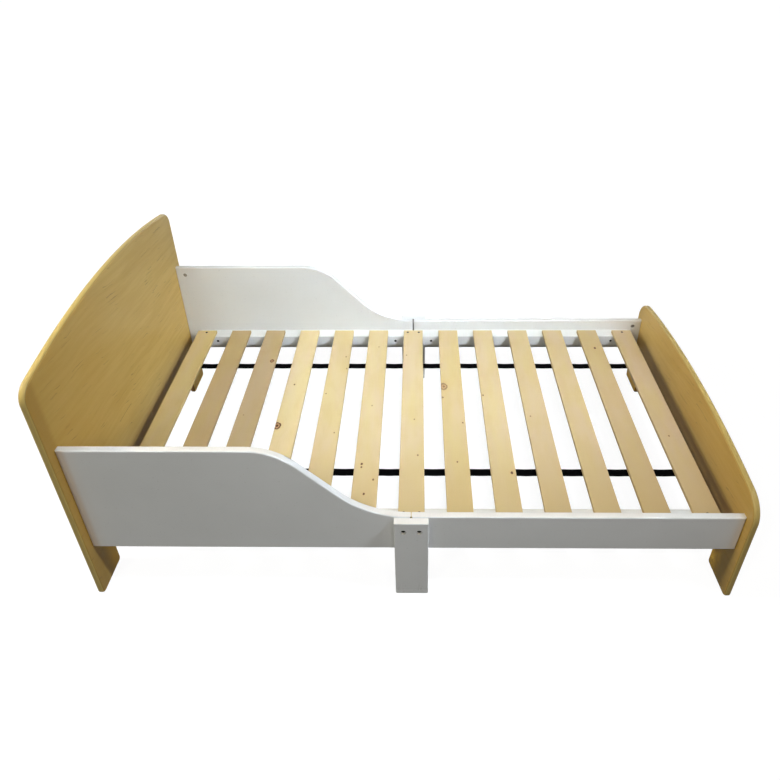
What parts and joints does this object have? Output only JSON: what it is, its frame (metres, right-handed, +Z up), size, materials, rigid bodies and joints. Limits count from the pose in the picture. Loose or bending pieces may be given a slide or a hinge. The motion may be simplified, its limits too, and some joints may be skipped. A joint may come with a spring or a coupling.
{
  "type": "kids bed",
  "caption": "Low child's bed with crowned wood-look headboard and footboard, white S-curved guard rails, middle legs, and wood slats on cleats tied by webbing straps.",
  "frame": {"origin": "on the floor under the middle of the bed", "axes": "+X from headboard to footboard, +Y from the near side to the far side, +Z up"},
  "size_m": [1.44, 0.782, 0.642],
  "materials": {
    "maple_laminate": "satin maple laminate with fine grain",
    "white_lacquer": "satin white lacquer",
    "slat_wood": "raw planed softwood with knots",
    "dowel_wood": "raw beech",
    "black_webbing": "woven black webbing",
    "zinc_steel": "zinc plated",
    "dark_steel": "black phosphated"
  },
  "bodies": {
    "root": {"headboard": "maple_laminate", "footboard": "maple_laminate", "rail_guard_near": "white_lacquer", "rail_guard_far": "white_lacquer", "rail_low_near": "white_lacquer", "rail_low_far": "white_lacquer", "leg_near": "white_lacquer", "leg_far": "white_lacquer", "cleat_guard_near": "white_lacquer", "cleat_guard_far": "white_lacquer", "cleat_low_near": "white_lacquer", "cleat_low_far": "white_lacquer", "slat_01": "slat_wood", "slat_02": "slat_wood", "slat_03": "slat_wood", "slat_04": "slat_wood", "slat_05": "slat_wood", "slat_06": "slat_wood", "slat_07": "slat_wood", "slat_08": "slat_wood", "slat_09": "slat_wood", "slat_10": "slat_wood", "slat_11": "slat_wood", "slat_12": "slat_wood", "slat_13": "slat_wood", "strap_near": "black_webbing", "strap_far": "black_webbing", "head_bolts": "zinc_steel", "foot_bolts": "zinc_steel", "head_barrel_nuts": "zinc_steel", "foot_barrel_nuts": "zinc_steel", "leg_bolts": "zinc_steel", "leg_inserts": "zinc_steel", "board_dowels": "dowel_wood", "seam_dowels": "dowel_wood", "cleat_screws": "dark_steel", "slat_screws": "dark_steel", "strap_staples": "zinc_steel"}
  },
  "joints": []
}
